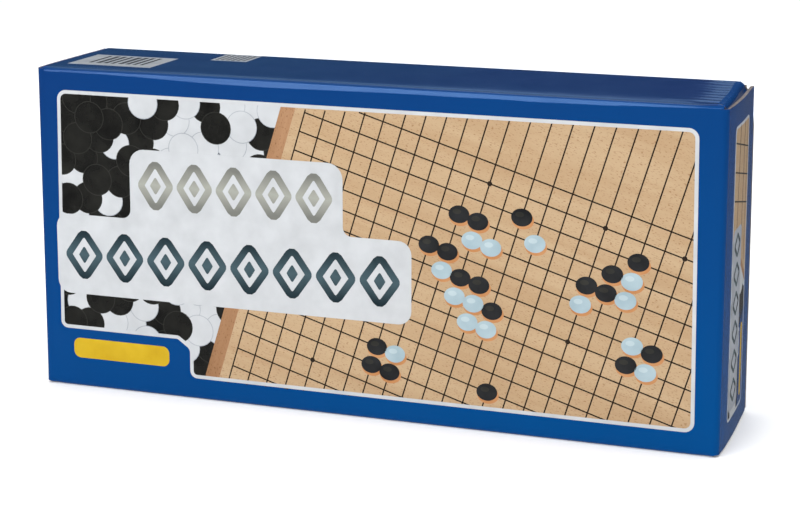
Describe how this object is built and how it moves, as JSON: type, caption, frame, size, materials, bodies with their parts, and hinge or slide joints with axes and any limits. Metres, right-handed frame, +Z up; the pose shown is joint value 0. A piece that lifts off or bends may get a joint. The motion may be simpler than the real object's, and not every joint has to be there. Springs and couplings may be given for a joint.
{
  "type": "boxed go board with stone drawers",
  "caption": "Long printed tuck-end carton of fluted board with side-hinged end closures, tuck tabs and dust flaps, packed with a folding wooden go board whose halves hold stone drawers.",
  "frame": {"origin": "middle of the long narrow face that the carton stands on", "axes": "+X along the carton towards its right-hand end seen from the printed front, +Y from the printed front to the back, +Z up"},
  "size_m": [0.31, 0.065, 0.146],
  "materials": {
    "carton": "gloss film over blue print, bare greyish board inside and at the cut edges",
    "closures": "gloss film over blue print",
    "dust_flaps": "gloss film over plain blue",
    "playing_boards": "satin lacquer with printed lines",
    "rails": "satin lacquer",
    "plywood": "raw",
    "drawer_wood": "raw",
    "black_stones": "polished",
    "white_stones": "polished",
    "hinge_brass": "satin",
    "rules_paper": "matte"
  },
  "bodies": {
    "boxed_set": {"carton_sleeve": "carton", "front_playing_board": "playing_boards", "back_playing_board": "playing_boards", "front_fold_rail": "rails", "back_fold_rail": "rails", "front_right_rail": "rails", "front_left_rail": "rails", "back_right_rail": "rails", "back_left_rail": "rails", "front_base_panel": "plywood", "back_base_panel": "plywood", "black_drawer_front": "rails", "white_drawer_front": "rails", "black_drawer_right_side": "drawer_wood", "black_drawer_left_side": "drawer_wood", "white_drawer_right_side": "drawer_wood", "white_drawer_left_side": "drawer_wood", "black_drawer_back": "drawer_wood", "white_drawer_back": "drawer_wood", "black_drawer_base": "plywood", "white_drawer_base": "plywood", "black_stones": "black_stones", "white_stones": "white_stones", "front_hinge_leaves": "hinge_brass", "back_hinge_leaves": "hinge_brass", "hinge_pins": "hinge_brass", "hinge_screws": "hinge_brass", "rule_booklet": "rules_paper"},
    "right_closure": {"right_closure": "closures"},
    "left_closure": {"left_closure": "closures"},
    "right_tuck_tab": {"right_tuck_tab": "closures"},
    "left_tuck_tab": {"left_tuck_tab": "closures"},
    "right_top_dust_flap": {"right_top_dust_flap": "dust_flaps"},
    "left_top_dust_flap": {"left_top_dust_flap": "dust_flaps"},
    "right_bottom_dust_flap": {"right_bottom_dust_flap": "dust_flaps"},
    "left_bottom_dust_flap": {"left_bottom_dust_flap": "dust_flaps"}
  },
  "joints": [
    {"name": "right_closure_crease", "type": "hinge", "parent": "boxed_set", "child": "right_closure", "pos_m": [0.15425, -0.03175, 0.073], "axis": [0, 0, -1], "range_deg": [0, 180]},
    {"name": "right_tab_crease", "type": "hinge", "parent": "right_closure", "child": "right_tuck_tab", "pos_m": [0.15425, 0.02995, 0.073], "axis": [0, 0, -1], "range_deg": [0, 45]},
    {"name": "right_top_dust_crease", "type": "hinge", "parent": "boxed_set", "child": "right_top_dust_flap", "pos_m": [0.15245, 0, 0.14525], "axis": [0, -1, 0], "range_deg": [0, 90]},
    {"name": "right_bottom_dust_crease", "type": "hinge", "parent": "boxed_set", "child": "right_bottom_dust_flap", "pos_m": [0.15245, 0, 0.00075], "axis": [0, 1, 0], "range_deg": [0, 90]},
    {"name": "left_closure_crease", "type": "hinge", "parent": "boxed_set", "child": "left_closure", "pos_m": [-0.15425, -0.03175, 0.073], "axis": [0, 0, 1], "range_deg": [0, 180]},
    {"name": "left_tab_crease", "type": "hinge", "parent": "left_closure", "child": "left_tuck_tab", "pos_m": [-0.15425, 0.02995, 0.073], "axis": [0, 0, 1], "range_deg": [0, 45]},
    {"name": "left_top_dust_crease", "type": "hinge", "parent": "boxed_set", "child": "left_top_dust_flap", "pos_m": [-0.15245, 0, 0.14525], "axis": [0, 1, 0], "range_deg": [0, 90]},
    {"name": "left_bottom_dust_crease", "type": "hinge", "parent": "boxed_set", "child": "left_bottom_dust_flap", "pos_m": [-0.15245, 0, 0.00075], "axis": [0, -1, 0], "range_deg": [0, 90]}
  ],
  "couplings": [
    {"joint": "right_tab_crease", "follows": "right_closure_crease", "ratio": 0.25},
    {"joint": "right_top_dust_crease", "follows": "right_closure_crease", "ratio": 0.5},
    {"joint": "right_bottom_dust_crease", "follows": "right_closure_crease", "ratio": 0.5},
    {"joint": "left_tab_crease", "follows": "left_closure_crease", "ratio": 0.25},
    {"joint": "left_top_dust_crease", "follows": "left_closure_crease", "ratio": 0.5},
    {"joint": "left_bottom_dust_crease", "follows": "left_closure_crease", "ratio": 0.5}
  ]
}
